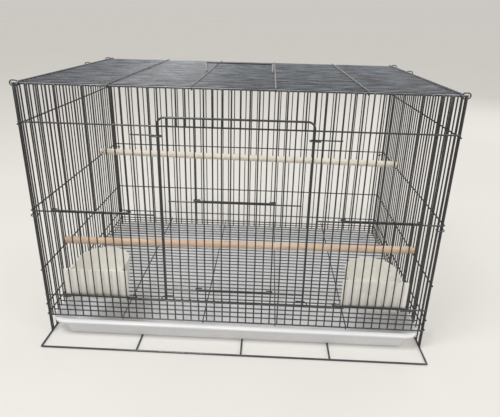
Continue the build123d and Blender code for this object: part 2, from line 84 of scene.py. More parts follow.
def black_stoving_enamel():
    """Dipped and baked black enamel on mild steel: deep black, glossy, with a slightly uneven
    skin and greyish streaks where paint ran before it set. Upward faces carry a painted sheen of
    pale grey-blue in patches, for light from above: faint low down, strong on the top panel, and
    mostly left off the wires that stand proud of it."""
    material, tree, output = new_material("black_stoving_enamel")
    place = add_node(tree, "ShaderNodeTexCoord")
    run_spacing = 6 * MM
    runs = add_node(tree, "ShaderNodeTexNoise", links={"Vector": place.outputs["Object"]},
                    Scale=1 / run_spacing, Detail=3.0, Roughness=0.6)
    colour = add_ramp(tree, runs.outputs["Fac"], (0.35, "#0c0c0d"), (0.75, "#232226"))
    # Painted sheen: upward faces are lightened most at the top panel's height and much less above it,
    # where the proud wires stand, standing in for light glinting from above.
    sheen_low_z, sheen_high_z = 395 * MM, 404 * MM
    sheen_off_low_z, sheen_off_high_z = 408.3 * MM, 409 * MM
    facing = add_node(tree, "ShaderNodeSeparateXYZ", links={"Vector": place.outputs["Normal"]})
    spot = add_node(tree, "ShaderNodeSeparateXYZ", links={"Vector": place.outputs["Object"]})
    upward = add_node(tree, "ShaderNodeMapRange", links={"Value": facing.outputs["Z"]},
                      From_Min=0.0, From_Max=0.8, To_Min=0.0, To_Max=0.85)
    near_top = add_node(tree, "ShaderNodeMapRange", links={"Value": spot.outputs["Z"]},
                        From_Min=sheen_low_z, From_Max=sheen_high_z, To_Min=0.2, To_Max=1.0)
    sheen_left_off = add_node(tree, "ShaderNodeMapRange", links={"Value": spot.outputs["Z"]},
                      From_Min=sheen_off_low_z, From_Max=sheen_off_high_z, To_Min=1.0, To_Max=0.2)
    upward_sheen = add_node(tree, "ShaderNodeMath", {"operation": "MULTIPLY"},
                       links={0: upward.outputs["Result"], 1: near_top.outputs["Result"]})
    painted_sheen = add_node(tree, "ShaderNodeMath", {"operation": "MULTIPLY"},
                    links={0: upward_sheen.outputs[0], 1: sheen_left_off.outputs["Result"]})
    patch_length, patch_width = 45 * MM, 16 * MM
    patch_place = add_node(tree, "ShaderNodeMapping", links={"Vector": place.outputs["Object"]})
    patch_place.inputs["Scale"].default_value = (1 / patch_length, 1 / patch_width, 0)
    patches = add_node(tree, "ShaderNodeTexNoise", links={"Vector": patch_place.outputs["Vector"]},
                       Scale=1.0, Detail=3.0, Roughness=0.6)
    cover = add_node(tree, "ShaderNodeMapRange", links={"Value": patches.outputs["Fac"]},
                     From_Min=0.36, From_Max=0.62, To_Min=0.3, To_Max=1.0)
    patchy_sheen = add_node(tree, "ShaderNodeMath", {"operation": "MULTIPLY"},
                      links={0: painted_sheen.outputs[0], 1: cover.outputs["Result"]})
    # The painted sheen's pale grey-blue, mixed into the black enamel where its mask is high.
    sheened_colour = add_node(tree, "ShaderNodeMix", {"data_type": "RGBA"},
                     links={0: patchy_sheen.outputs[0], 6: colour.outputs["Color"]})
    sheened_colour.inputs[7].default_value = linear("#a3adb8")
    gloss = add_node(tree, "ShaderNodeMapRange", links={"Value": runs.outputs["Fac"]},
                     To_Min=0.16, To_Max=0.34)
    skin_grain = 0.8 * MM
    skin = add_node(tree, "ShaderNodeTexNoise", links={"Vector": place.outputs["Object"]},
                    Scale=1 / skin_grain, Detail=2.0)
    bump = add_node(tree, "ShaderNodeBump", links={"Height": skin.outputs["Fac"]},
                    Strength=0.3, Distance=0.08 * MM)
    shader = add_node(tree, "ShaderNodeBsdfPrincipled", links={
        "Base Color": sheened_colour.outputs[2],
        "Roughness": gloss.outputs["Result"],
        "Normal": bump.outputs["Normal"],
    }, IOR=1.55, Coat_Weight=0.8, Coat_Roughness=0.14)
    tree.links.new(shader.outputs["BSDF"], output.inputs["Surface"])
    return material


enamel = black_stoving_enamel()


def wire_frames(points):
    """The direction of a wire and two side directions at each of its points, without twist."""
    last = len(points) - 1
    tangents = [(points[min(i + 1, last)] - points[max(i - 1, 0)]).normalized()
                for i in range(last + 1)]
    side = tangents[0].orthogonal().normalized()
    frames = []
    for tangent in tangents:
        side = (side - tangent * side.dot(tangent)).normalized()
        frames.append((tangent, side, tangent.cross(side)))
    return frames


def add_wire(bm, points, radius, sides=12):
    """One round wire along the points, with its sheared ends slightly rounded by the paint."""
    points = [Vector(p) for p in points]
    frames = wire_frames(points)
    tip = radius * 0.45
    tip_rings = ((0.0, 0.70), (0.35 * tip, 0.92), (tip, 1.0))
    first, last = [], []
    for stations, i, inward in ((first, 0, 1), (last, -1, -1)):
        tangent, side, other = frames[i]
        for along, share in tip_rings:
            stations.append((points[i] + tangent * inward * along, side, other, radius * share))
    middle = [(points[i], *frames[i][1:], radius) for i in range(1, len(points) - 1)]
    rows = []
    for centre, side, other, ring_radius in first + middle + last[::-1]:
        ring = []
        for k in range(sides):
            angle = 2 * math.pi * k / sides
            out = side * math.cos(angle) + other * math.sin(angle)
            ring.append(bm.verts.new(centre + out * ring_radius))
        rows.append(ring)
    for a, b in zip(rows, rows[1:]):
        for k in range(sides):
            m = (k + 1) % sides
            bm.faces.new((a[k], a[m], b[m], b[k])).smooth = True
    bm.faces.new(rows[0][::-1])
    bm.faces.new(rows[-1])


def add_weld(bm, place, across, radius, spread=1.35, flatness=0.8, sides=8):
    """The small nugget that a spot weld squeezes out between two crossed wires, under its paint."""
    turn = Vector(across).to_track_quat("Z", "Y").to_matrix()
    rows = []
    for height in (-0.95, -0.5, 0.0, 0.5, 0.95):
        reach = math.sqrt(1 - height * height) * radius * spread
        rise = height * radius * flatness
        row = []
        for k in range(sides):
            angle = 2 * math.pi * k / sides
            offset = Vector((reach * math.cos(angle), reach * math.sin(angle), rise))
            row.append(bm.verts.new(Vector(place) + turn @ offset))
        rows.append(row)
    for a, b in zip(rows, rows[1:]):
        for k in range(sides):
            m = (k + 1) % sides
            bm.faces.new((a[k], a[m], b[m], b[k])).smooth = True
    bm.faces.new(rows[0][::-1]).smooth = True
    bm.faces.new(rows[-1]).smooth = True


def finished(bm, name, material, body, nodes):
    """Turns a mesh into a piece of the object that stands for its CAD nodes."""
    bmesh.ops.recalc_face_normals(bm, faces=bm.faces)
    mesh = bpy.data.meshes.new(name)
    bm.to_mesh(mesh)
    bm.free()
    mesh.materials.append(material)
    piece = bpy.data.objects.new(name, mesh)
    bpy.context.scene.collection.objects.link(piece)
    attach(piece, body)
    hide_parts(*nodes)
    return piece


def wire_piece(name, runs, body="cage", nodes=None, welds=()):
    """A group of painted wires: runs are (points, radius), welds are (place, across, radius)."""
    bm = bmesh.new()
    for points, radius in runs:
        add_wire(bm, points, radius)
    for place, across, radius in welds:
        add_weld(bm, place, across, radius)
    return finished(bm, f"{name}_wire", enamel, body, nodes or [name])


pitch = 12.7 * MM
width_gaps, depth_gaps = 48, 32
half_width = width_gaps * pitch / 2
front_y = -186.1 * MM
rear_y = front_y + depth_gaps * pitch
frame_r = 1.5 * MM
frame_front_y = front_y - 40 * MM
frame_corner = 0.3 * MM
floor_cross_x = [x * MM for x in (-152, 14, 154)]

frame_runs = [([(s * half_width, frame_front_y, frame_r), (s * half_width, rear_y, frame_r)], frame_r)
              for s in (-1, 1)]
frame_end = half_width - frame_r + frame_corner
frame_runs += [([(-frame_end, y, frame_r), (frame_end, y, frame_r)], frame_r)
               for y in (frame_front_y, rear_y)]
weld_inset = 0.6 * MM
weld_ys = (frame_front_y + weld_inset, rear_y - weld_inset)
corner_welds = [((s * (half_width - weld_inset), y, frame_r), (0, 0, 1), frame_r)
                for s in (-1, 1) for y in weld_ys]
wire_piece("floor_frame", frame_runs, welds=corner_welds)

cross_start = frame_front_y + frame_r - frame_corner
cross_stop = rear_y - frame_r + frame_corner
wire_piece("floor_cross_wires",
           [([(x, cross_start, frame_r), (x, cross_stop, frame_r)], frame_r) for x in floor_cross_x],
           welds=[((x, y, frame_r), (0, 0, 1), frame_r) for x in floor_cross_x for y in weld_ys])


# Front panel: 2.2 mm upright bars at 12.7 mm pitch, spot welded to 2.4 mm rails outside them.
# The bars are cropped where the main door and the two feeder doors leave openings.

bar_r = 1.1 * MM
rail_r = 1.2 * MM
weld_sink = 0.3 * MM
rail_out = bar_r + rail_r - weld_sink
top_wire_z = 406.4 * MM
bar_top_z = top_wire_z - frame_r + weld_sink
front_upper_z = 354 * MM
mid_z = 220 * MM
sill_z = 74 * MM
bottom_z = 36 * MM
noise.seed_set(11)  # a fixed seed, so that the bars bow alike each time the script runs


def bar_x(gap):
    """Where the bar stands that is half a pitch outside a whole number of gaps."""
    return (gap + 0.5) * pitch


def bowed(x, y, low, high, key):
    """A long bar between its welds: never dead straight, off by up to a third of a millimetre."""
    bow = 0.35 * MM
    steps = max(1, round((high - low) / (60 * MM)))
    line = []
    for i in range(steps + 1):
        z = low + (high - low) * i / steps
        shift = noise.noise_vector(Vector((key * 3.1, z * 9.0, y * 7.0))) * bow
        hold = math.sin(math.pi * i / steps) if steps > 1 else 0.0
        line.append((x + shift.x * hold, y + shift.y * hold * 0.4, z))
    return line


def bars_and_welds(gaps, low, high, rails, y=front_y, radius=bar_r, rail_side=-1):
    """Upright bars at these gaps, left and right, and the welds on the rails that cross them."""
    runs, welds = [], []
    for gap in gaps:
        for side in (-1, 1):
            x = side * bar_x(gap)
            runs.append((bowed(x, y, low, high, x / pitch), radius))
            for z in rails:
                if low < z < high:
                    welds.append(((x, y + rail_side * radius, z), (0, 1, 0), radius))
    return runs, welds


door_gaps = range(8)
feeder_gaps = range(13, 21)
full_gaps = [gap for gap in range(width_gaps // 2) if gap not in door_gaps and gap not in feeder_gaps]
front_runs, front_welds = [], []
for gaps, low, high in (
    (full_gaps, bottom_z - rail_r, bar_top_z),
    (door_gaps, bottom_z - rail_r, sill_z + rail_r),
    (door_gaps, front_upper_z - rail_r, bar_top_z),
    (feeder_gaps, bottom_z - rail_r, sill_z + rail_r),
    (feeder_gaps, mid_z - rail_r, bar_top_z),
):
    rails = [bottom_z, sill_z, front_upper_z, bar_top_z - 0.1 * MM]
    if gaps is not door_gaps:
        rails.append(mid_z)
    runs, welds = bars_and_welds(gaps, low, high, [z for z in rails if low < z < high])
    front_runs += runs
    front_welds += welds
wire_piece("front_panel_bars", front_runs, welds=front_welds)

rail_end = half_width + weld_sink
rail_y = front_y - rail_out
rail_runs = [([(-rail_end, rail_y, z), (rail_end, rail_y, z)], rail_r)
             for z in (front_upper_z, sill_z, bottom_z)]
mid_start = bar_x(9) - bar_r - weld_sink
rail_runs += [([(s * mid_start, rail_y, mid_z), (s * rail_end, rail_y, mid_z)], rail_r)
              for s in (-1, 1)]
wire_piece("front_panel_rails", rail_runs)


# Rear panel: the same bars and rails, but the bars run down to the floor frame, and the rails
# are at the side panels' heights.

outer_rails = [z * MM for z in (350, 220, 117, 54, 36)]
bar_foot_z = 2 * frame_r - weld_sink
rear_runs, rear_welds = bars_and_welds(range(width_gaps // 2), bar_foot_z, bar_top_z, outer_rails,
                                       y=rear_y, rail_side=1)
wire_piece("rear_panel_bars", rear_runs, welds=rear_welds)
rear_rail_y = rear_y + rail_out
wire_piece("rear_panel_rails",
           [([(-rail_end, rear_rail_y, z), (rail_end, rear_rail_y, z)], rail_r) for z in outer_rails])


# Top wires and corner posts: 3 mm wire that edges the panels, welded on the bars' ends.

post_x = half_width - frame_r + bar_r
post_reach = post_x + frame_r
for panel, y in (("front", front_y), ("rear", rear_y)):
    wire_piece(f"{panel}_top_wire",
               [([(-post_reach, y, top_wire_z), (post_reach, y, top_wire_z)], frame_r)])

mesh_r = 1.0 * MM
cross_r = 1.1 * MM
curl = frame_r + cross_r + 0.05 * MM
top_cross_z = top_wire_z + curl
top_mesh_z = top_cross_z - cross_r - mesh_r + 0.2 * MM
side_top_z = top_mesh_z - mesh_r - frame_r + weld_sink
side_bar_top_z = side_top_z - frame_r + weld_sink
post_spots = (front_y + frame_r - bar_r, rear_y - frame_r + bar_r)
for panel, side in (("left", -1), ("right", 1)):
    wire_piece(f"{panel}_corner_posts",
               [([(side * post_x, y, bar_foot_z), (side * post_x, y, bar_top_z)], frame_r)
                for y in post_spots])
    wire_piece(f"{panel}_top_wire",
               [([(side * half_width, post_spots[0] + frame_r - weld_sink, side_top_z),
                  (side * half_width, post_spots[1] - frame_r + weld_sink, side_top_z)], frame_r)])


# Side panels: 32 bars each, on five rails that stand outside them, down to the floor frame.

for panel, side in (("left", -1), ("right", 1)):
    side_runs, side_welds = [], []
    for gap in range(depth_gaps):
        y = front_y + bar_x(gap)
        line = bowed(y, side * half_width, bar_foot_z, side_bar_top_z, gap + side * 40)
        side_runs.append(([(b, a, z) for a, b, z in line], bar_r))
        side_welds += [((side * (half_width + bar_r), y, z), (1, 0, 0), bar_r) for z in outer_rails]
    wire_piece(f"{panel}_panel_bars", side_runs, welds=side_welds)
    out = side * (half_width + rail_out)
    wire_piece(f"{panel}_panel_rails",
               [([(out, front_y - weld_sink, z), (out, rear_y + weld_sink, z)], rail_r)
                for z in outer_rails])


# Top panel: 2 mm wires the long way at 12.7 mm pitch, under six 2.2 mm cross wires whose tips are
# curled down over the front and rear panels' top wires.

def curled(x, front_centre, rear_centre, curl_radius, turn=150, steps=12):
    """A cross wire with both tips bent down round the wires in front and behind."""
    points = []
    for (centre_y, centre_z), bend in ((front_centre, turn), (rear_centre, -turn)):
        tip = []
        for i in range(steps + 1):
            angle = math.radians(90 + bend * i / steps)
            tip.append((x, centre_y + curl_radius * math.cos(angle),
                        centre_z + curl_radius * math.sin(angle)))
        points += tip if bend < 0 else tip[::-1]
    return points


top_cross_x = [x * MM for x in (-295.7, -174, -60, 52.5, 175, 295.7)]
mesh_rows = [front_y + k * pitch for k in range(1, depth_gaps)]
wire_piece("top_panel_wires",
           [([(-half_width, y, top_mesh_z), (half_width, y, top_mesh_z)], mesh_r) for y in mesh_rows],
           welds=[((x, y, top_mesh_z + mesh_r), (0, 0, 1), mesh_r)
                  for x in top_cross_x for y in mesh_rows])
wire_piece("top_panel_cross_wires",
           [(curled(x, (front_y, top_wire_z), (rear_y, top_wire_z), curl), cross_r)
            for x in top_cross_x])


# Wire floor: the same mesh, standing just above the tray, with four cross wires hooked over the
# bottom rails.

rail_curl = rail_r + cross_r + 0.05 * MM
floor_cross_z = bottom_z + rail_curl
floor_mesh_z = floor_cross_z - cross_r - mesh_r + 0.2 * MM
floor_mesh_x = [x * MM for x in (-181, -50, 67, 180.5)]
floor_half = half_width - bar_r - 0.6 * MM
wire_piece("floor_mesh_wires",
           [([(-floor_half, y, floor_mesh_z), (floor_half, y, floor_mesh_z)], mesh_r)
            for y in mesh_rows],
           welds=[((x, y, floor_mesh_z + mesh_r), (0, 0, 1), mesh_r)
                  for x in floor_mesh_x for y in mesh_rows])
bottom_rails = ((front_y - rail_out, bottom_z), (rear_y + rail_out, bottom_z))
wire_piece("floor_mesh_cross_wires",
           [(curled(x, *bottom_rails, rail_curl), cross_r) for x in floor_mesh_x])


# Rings: short ends of 1.8 mm wire closed with pliers. Four tie the corners at half height, and six
# oval ones tie the top panel to the side panels.

ring_r = 0.9 * MM
corner_ring_radius = 5.6 * MM
corner_ring_offset = 0.8 * MM
corner_ring_z = 213 * MM
corner_ring_x = (post_x + frame_r + bar_x(23) - bar_r) / 2
corner_runs = []
for side in (-1, 1):
    for y, mouth in ((front_y - corner_ring_offset, 1), (rear_y + corner_ring_offset, -1)):
        ring = []
        for i in range(25):
            angle = math.radians(15 + 330 * i / 24)
            ring.append((side * corner_ring_x - mouth * corner_ring_radius * math.sin(angle),
                         y + mouth * corner_ring_radius * math.cos(angle), corner_ring_z))
        corner_runs.append((ring, ring_r))
wire_piece("corner_rings", corner_runs)

oval_radius = 3.8 * MM
oval_half = 2.0 * MM
oval_mouth = 0.6 * MM
oval_inset = 3.5 * MM
oval_x = half_width - 0.5 * MM
oval_z = side_top_z + 1.05 * MM
oval_ys = (front_y + oval_inset, front_y + 22 * pitch + 3.1 * MM, rear_y - oval_inset)
oval_steps = 10
oval_runs = []
for side in (-1, 1):
    for y in oval_ys:
        middle = side * oval_x
        ring = [(middle - oval_mouth, y, oval_z - oval_radius)]
        for end, first in ((-1, -90), (1, -270)):
            for i in range(oval_steps + 1):
                angle = math.radians(first - 180 * i / oval_steps)
                ring.append((middle + end * oval_half + oval_radius * math.cos(angle), y,
                             oval_z + oval_radius * math.sin(angle)))
        ring.append((middle + oval_mouth, y, oval_z - oval_radius))
        oval_runs.append((ring, ring_r))
wire_piece("top_rings", oval_runs)


# Door guides: a 2 mm wire welded across three bars each side, turned back in front of the door's
# leg, so that the leg slides between the guide and the panel.

def arc(centre, start, end, radius, z, steps=12):
    """Points of an arc at one height, from one angle to another in degrees."""
    angles = [math.radians(start + (end - start) * i / steps) for i in range(steps + 1)]
    return [(centre[0] + radius * math.cos(a), centre[1] + radius * math.sin(a), z) for a in angles]


door_frame_y = front_y - 7.0 * MM
guide_r = 1.0 * MM
guide_back_y = front_y - bar_r - guide_r + 0.2 * MM
guide_front_y = door_frame_y - frame_r - 0.5 * MM - guide_r
guide_turn = (guide_back_y - guide_front_y) / 2
guide_mid_y = (guide_back_y + guide_front_y) / 2
guide_z = 341 * MM
guide_inset = 2 * MM
guide_back_length = 42 * MM
guide_front_length = 11 * MM
guide_runs = []
for side in (-1, 1):
    turn_x = side * (bar_x(8) - guide_inset)
    bend = arc((turn_x, guide_mid_y), 90, 90 + side * 180, guide_turn, guide_z)
    guide_runs.append(([(turn_x + side * guide_back_length, guide_back_y, guide_z), *bend,
                        (turn_x + side * guide_front_length, guide_front_y, guide_z)], guide_r))
wire_piece("door_guides", guide_runs)


# Main door: an inverted U of 3 mm wire with 2 mm bars welded behind its two cross rails. Its foot
# wire is bent at both ends into hooks that run on the two fixed bars beside the opening.

def hooked(half_span, wire_y, tail_y, z, tail, centre_x=0.0):
    """A cross wire with its ends bent outwards round a bar, and a short tail behind the bar."""
    radius = (tail_y - wire_y) / 2
    middle_y = (tail_y + wire_y) / 2
    left = arc((centre_x - half_span, middle_y), 90, 270, radius, z)
    right = arc((centre_x + half_span, middle_y), -90, 90, radius, z)
    left_tip = (centre_x - half_span + tail, tail_y, z)
    right_tip = (centre_x + half_span - tail, tail_y, z)
    return [left_tip, *left, *right, right_tip]


door_r = 1.0 * MM
leg_x = bar_x(8)
door_top_z = 367 * MM
door_corner = 10 * MM
door_bar_y = front_y - 7.5 * MM
door_wire_y = door_bar_y - 2 * door_r + 0.2 * MM
door_foot_z = sill_z + rail_r + door_r + 0.3 * MM
door_low_z = 97 * MM
door_mid_z = 246 * MM

outline = [(-leg_x, door_frame_y, door_foot_z - door_r)]
for centre_x, first in ((-(leg_x - door_corner), 180), (leg_x - door_corner, 90)):
    for i in range(13):
        angle = math.radians(first - 90 * i / 12)
        outline.append((centre_x + door_corner * math.cos(angle), door_frame_y,
                        door_top_z - door_corner + door_corner * math.sin(angle)))
outline.append((leg_x, door_frame_y, door_foot_z - door_r))
wire_piece("main_door_frame", [(outline, frame_r)], body="main_door")

door_runs, door_welds = [], []
door_head_z = door_top_z - frame_r + 0.4 * MM
for gaps, low, high in (
    (range(4, 8), door_foot_z - door_r, door_head_z),
    (range(4), door_foot_z - door_r, door_low_z + door_r),
    (range(4), door_mid_z - door_r, door_head_z),
):
    rails = [z for z in (door_foot_z, door_low_z, door_mid_z) if low < z < high]
    runs, welds = bars_and_welds(gaps, low, high, rails, y=door_bar_y, radius=door_r)
    door_runs += runs
    door_welds += welds
wire_piece("main_door_bars", door_runs, body="main_door", welds=door_welds)
mid_half = bar_x(7) + door_r + weld_sink
wire_piece("main_door_rails",
           [([(-half, door_wire_y, z), (half, door_wire_y, z)], door_r)
            for half, z in ((leg_x, door_low_z), (mid_half, door_mid_z))],
           body="main_door",
           welds=[((s * leg_x, door_wire_y, door_low_z), (0, 1, 0), door_r) for s in (-1, 1)])
foot_tail_y = front_y + 5.5 * MM
foot_tail = 10 * MM
wire_piece("main_door_foot_wire",
           [(hooked(leg_x, door_wire_y, foot_tail_y, door_foot_z, foot_tail), door_r)],
           body="main_door")


# Small door: eight bars on two hooked wires, sliding on the main door's own bars over the gap that
# is left in its middle.

small_foot_z = door_low_z + 2 * door_r + 0.3 * MM
small_head_z = door_mid_z + 2 * door_r + 0.3 * MM
small_turn = 2 * door_r + 0.3 * MM
small_wire_y = door_bar_y - small_turn
small_bar_y = small_wire_y - 2 * door_r + 0.2 * MM
small_tail = 7 * MM
small_runs, small_welds = bars_and_welds(
    range(4), small_foot_z - door_r, small_head_z + door_r, [small_foot_z, small_head_z],
    y=small_bar_y, radius=door_r, rail_side=1)
wire_piece("small_door_bars", small_runs, body="small_door", welds=small_welds)
wire_piece("small_door_wires",
           [(hooked(bar_x(4), small_wire_y, door_bar_y + small_turn, z, small_tail), door_r)
            for z in (small_foot_z, small_head_z)], body="small_door")


# Feeder doors: one in front of each cup, eight bars on two wires hooked round the fixed bars at
# the sides of the opening.

feeder_x = 17 * pitch
feeder_bar_y = front_y - 4.5 * MM
feeder_wire_y = feeder_bar_y + 2 * door_r - 0.2 * MM
feeder_half = bar_x(21) - feeder_x
feeder_tail_y = 2 * front_y - feeder_wire_y
feeder_tail = 5 * MM
feeder_head_z = mid_z + rail_r + door_r + 0.3 * MM
for panel, side in (("left", -1), ("right", 1)):
    runs, welds = [], []
    for gap in feeder_gaps:
        x = side * bar_x(gap)
        line = bowed(x, feeder_bar_y, door_foot_z - door_r, feeder_head_z + door_r, gap + side * 70)
        runs.append((line, door_r))
        welds += [((x, feeder_bar_y + door_r, z), (0, 1, 0), door_r)
                  for z in (door_foot_z, feeder_head_z)]
    body = f"{panel}_feeder_door"
    wire_piece(f"{body}_bars", runs, body=body, welds=welds)
    wires = [hooked(feeder_half, feeder_wire_y, feeder_tail_y, z, feeder_tail, side * feeder_x)
             for z in (door_foot_z, feeder_head_z)]
    wire_piece(f"{body}_wires", [(wire, door_r) for wire in wires], body=body)


# Handle: a bail bent from one 3 mm wire, with an eye at each end that turns on a wire of the top.

handle_r = 1.5 * MM
eye_radius = mesh_r + 0.4 * MM + handle_r
handle_y = front_y + 15 * pitch
handle_length = 133 * MM
handle_bend = 5 * MM
handle_z = top_cross_z + cross_r + handle_r + 0.3 * MM


def eye_and_leg(eye_x, corner_x):
    """The eye's points from its open end to where the leg leaves it, and the leg's corner."""
    reach = math.hypot(corner_x - eye_x, handle_length)
    heading = Vector((corner_x - eye_x, handle_length, 0)).normalized()
    rise = handle_z - top_mesh_z
    tilt = math.atan2(rise, reach) - math.asin(eye_radius / math.hypot(reach, rise))
    points = []
    for i in range(25):
        angle = math.radians(90) + tilt + math.radians(300) * (24 - i) / 24
        points.append(Vector((eye_x, handle_y, top_mesh_z)) + heading * eye_radius * math.cos(angle)
                      + Vector((0, 0, eye_radius * math.sin(angle))))
    return points, Vector((corner_x, handle_y + handle_length, handle_z))


def rounded_corner(before, corner, after, radius, steps=8):
    """Points of a bend of that radius at a corner between two straight runs."""
    to_before = (before - corner).normalized()
    to_after = (after - corner).normalized()
    half_angle = to_before.angle(to_after) / 2
    setback = radius / math.tan(half_angle)
    centre = corner + (to_before + to_after).normalized() * radius / math.sin(half_angle)
    first = (corner + to_before * setback - centre).normalized()
    last = (corner + to_after * setback - centre).normalized()
    return [centre + first.slerp(last, i / steps) * radius for i in range(steps + 1)]


left_eye, left_corner = eye_and_leg(-64 * MM, -83 * MM)
right_eye, right_corner = eye_and_leg(48.3 * MM, 48.8 * MM)
bail = [*left_eye,
        *rounded_corner(left_eye[-1], left_corner, right_corner, handle_bend),
        *rounded_corner(left_corner, right_corner, right_eye[-1], handle_bend),
        *right_eye[::-1]]
wire_piece("carry_handle", [(bail, handle_r)], body="carry_handle")


# Tray: one vacuum-formed sheet of white high-impact polystyrene, 2.2 mm thick, with sloping walls
# and a rim turned down all round. The sheet is glossy on top, with a faint pull where it stretched.

def pressed_polystyrene():
    """White high-impact polystyrene, formed over a mould: cool white, satin, faintly rippled,
    with scuffing on it from sliding on the frame."""
    material, tree, output = new_material("pressed_polystyrene")
    place = add_node(tree, "ShaderNodeTexCoord")
    ripple_size = 55 * MM
    ripple = add_node(tree, "ShaderNodeTexNoise", links={"Vector": place.outputs["Object"]},
                      Scale=1 / ripple_size, Detail=4.0, Roughness=0.55)
    colour = add_ramp(tree, ripple.outputs["Fac"], (0.3, "#f1f3f7"), (0.7, "#fbfcfd"))
    scuff_size = 1.5 * MM
    scuffs = add_node(tree, "ShaderNodeTexNoise", links={"Vector": place.outputs["Object"]},
                      Scale=1 / scuff_size, Detail=5.0, Roughness=0.7)
    gloss = add_node(tree, "ShaderNodeMapRange", links={"Value": scuffs.outputs["Fac"]},
                     To_Min=0.28, To_Max=0.5)
    bump = add_node(tree, "ShaderNodeBump", links={"Height": ripple.outputs["Fac"]},
                    Strength=0.35, Distance=0.8 * MM)
    shader = add_node(tree, "ShaderNodeBsdfPrincipled", links={
        "Base Color": colour.outputs["Color"],
        "Roughness": gloss.outputs["Result"],
        "Normal": bump.outputs["Normal"],
    }, IOR=1.59)
    tree.links.new(shader.outputs["BSDF"], output.inputs["Surface"])
    return material


def rounded_rectangle(half_x, half_y, radius, z, centre_y, steps=8):
    """Points round a rectangle with rounded corners, anticlockwise from the right front corner."""
    points = []
    for corner in range(4):
        middle = math.radians(-45 + 90 * corner)
        centre = Vector((math.copysign(half_x - radius, math.cos(middle)),
                         math.copysign(half_y - radius, math.sin(middle)), 0))
        for i in range(steps + 1):
            angle = math.radians(-90 + 90 * corner + 90 * i / steps)
            points.append((centre.x + radius * math.cos(angle),
                           centre_y + centre.y + radius * math.sin(angle), z))
    return points


def skin_rings(bm, rings, smooth=True):
    """Joins rings of equal length into one skin, and returns the rings' vertices."""
    rows = [[bm.verts.new(p) for p in ring] for ring in rings]
    for a, b in zip(rows, rows[1:]):
        count = len(a)
        for k in range(count):
            m = (k + 1) % count
            bm.faces.new((a[k], a[m], b[m], b[k])).smooth = smooth
    return rows


tray_half_x = 292 * MM
tray_half_y = 195 * MM
tray_reach = 12 * MM
tray_depth = 404 * MM
tray_middle_y = front_y - tray_reach + tray_depth / 2
tray_profile = (
    # millimetres out from the walls' top edge at the sides, at the ends, height, corner radius
    (-18.5, -5.5, 3.3, 6), (-16.4, -3.4, 3.9, 8), (-15.1, -2.4, 5.6, 9),
    (-9.0, -1.5, 16.0, 12), (-2.4, -0.5, 26.6, 15), (-1.0, 0.2, 28.6, 16),
    (0.6, 1.0, 29.2, 17), (4.2, 4.2, 29.2, 20), (5.0, 5.0, 28.6, 21), (5.2, 5.2, 26.5, 21),
    (5.8, 5.8, 26.0, 22), (6.6, 6.6, 26.2, 23), (7.0, 7.0, 27.0, 23), (7.0, 7.0, 29.4, 23),
    (6.5, 6.5, 30.4, 22.5), (5.4, 5.4, 31.0, 21), (0.4, 0.4, 31.0, 16), (-1.3, -1.2, 30.7, 15),
    (-2.6, -2.4, 29.4, 14), (-9.6, -3.3, 18.5, 11), (-16.0, -4.3, 8.6, 8),
    (-17.9, -5.2, 6.5, 7), (-20.6, -7.6, 5.5, 5),
)
bm = bmesh.new()
tray_rows = skin_rings(bm, [
    rounded_rectangle(tray_half_x + out_x * MM, tray_half_y + out_y * MM,
                      radius * MM, z * MM, tray_middle_y)
    for out_x, out_y, z, radius in tray_profile
])
bm.faces.new(tray_rows[0][::-1])
bm.faces.new(tray_rows[-1])
finished(bm, "tray_shell", pressed_polystyrene(), "tray", ["tray"])


# Feeder cups: injection-moulded ivory polypropylene. A fluted plate stands on the sill rail, its
# flutes clear of the feeder door's bars, with a round-ended bowl behind it and a lip that hangs
# inside the sill bars.

def moulded_polypropylene():
    """Ivory polypropylene from a polished mould: warm off-white, waxy sheen, with a faint uneven tone."""
    material, tree, output = new_material("moulded_polypropylene")
    place = add_node(tree, "ShaderNodeTexCoord")
    flow_size = 18 * MM
    flow = add_node(tree, "ShaderNodeTexNoise", links={"Vector": place.outputs["Object"]},
                    Scale=1 / flow_size, Detail=3.0)
    colour = add_ramp(tree, flow.outputs["Fac"], (0.3, "#f1efe7"), (0.7, "#fbfaf5"))
    grain_size = 0.6 * MM
    grain = add_node(tree, "ShaderNodeTexNoise", links={"Vector": place.outputs["Object"]},
                     Scale=1 / grain_size, Detail=2.0)
    gloss = add_node(tree, "ShaderNodeMapRange", links={"Value": grain.outputs["Fac"]},
                     To_Min=0.3, To_Max=0.46)
    bump = add_node(tree, "ShaderNodeBump", links={"Height": grain.outputs["Fac"]},
                    Strength=0.1, Distance=0.05 * MM)
    shader = add_node(tree, "ShaderNodeBsdfPrincipled", links={
        "Base Color": colour.outputs["Color"],
        "Roughness": gloss.outputs["Result"],
        "Normal": bump.outputs["Normal"],
    }, IOR=1.49)
    tree.links.new(shader.outputs["BSDF"], output.inputs["Surface"])
    return material


polypropylene = moulded_polypropylene()
cup_front_y = feeder_wire_y + door_r + 0.3 * MM
cup_back_y = cup_front_y + 2.8 * MM
cup_foot_z = sill_z + rail_r + 0.3 * MM
cup_rim_z = cup_foot_z + 46 * MM
cup_shift = 4 * MM
cup_half = 51 * MM
bowl_half = 42 * MM
bowl_straight = 38 * MM
flute_radius = 4.5 * MM
flute_depth = 1.2 * MM


